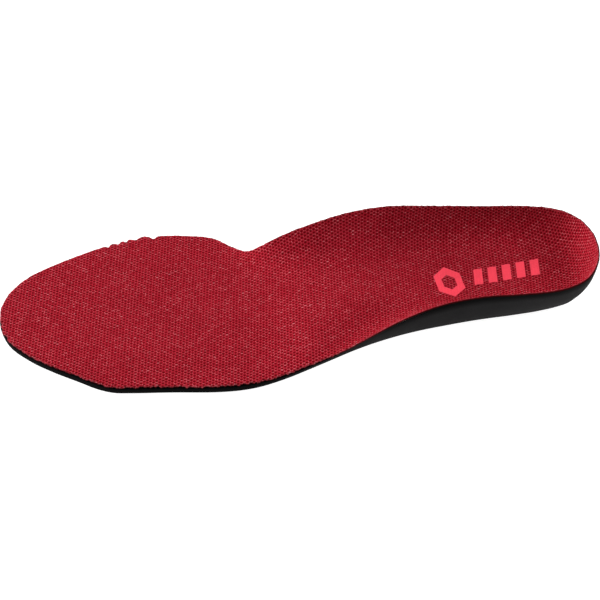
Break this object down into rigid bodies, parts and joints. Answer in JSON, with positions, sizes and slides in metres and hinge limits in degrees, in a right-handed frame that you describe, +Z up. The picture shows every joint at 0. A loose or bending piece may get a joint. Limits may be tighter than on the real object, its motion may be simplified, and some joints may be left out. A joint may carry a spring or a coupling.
{
  "type": "cushioned shoe insole",
  "caption": "Full-length left shoe insole: moulded foam with a deep heel cup and raised arch, under a bonded knitted mesh cover, with cushion pads set into its underside.",
  "frame": {"origin": "on the flat underside, below the centre of the heel seat", "axes": "+X from the heel to the toe along the heel's centreline, +Y to the lateral (outer) side of the left foot, +Z up out of the footbed"},
  "size_m": [0.266, 0.0949, 0.0291],
  "materials": {
    "foam": "matte moulded closed-cell foam with a fine grained skin",
    "cover_fabric": "red knitted air mesh with rows of small staggered holes",
    "cushion_gel": "soft matte elastomer, grey",
    "adhesive": "thin hot-melt film, hidden",
    "print_ink": "soft satin transfer print, pink-red"
  },
  "bodies": {
    "root": {"foam_body": "foam", "cover_adhesive": "adhesive", "top_cover": "cover_fabric", "heel_pad": "cushion_gel", "heel_pad_adhesive": "adhesive", "forefoot_pad": "cushion_gel", "forefoot_pad_adhesive": "adhesive", "heel_emblem": "print_ink", "heel_bar_1": "print_ink", "heel_bar_2": "print_ink", "heel_bar_3": "print_ink", "heel_bar_4": "print_ink", "heel_bar_5": "print_ink"}
  },
  "joints": []
}
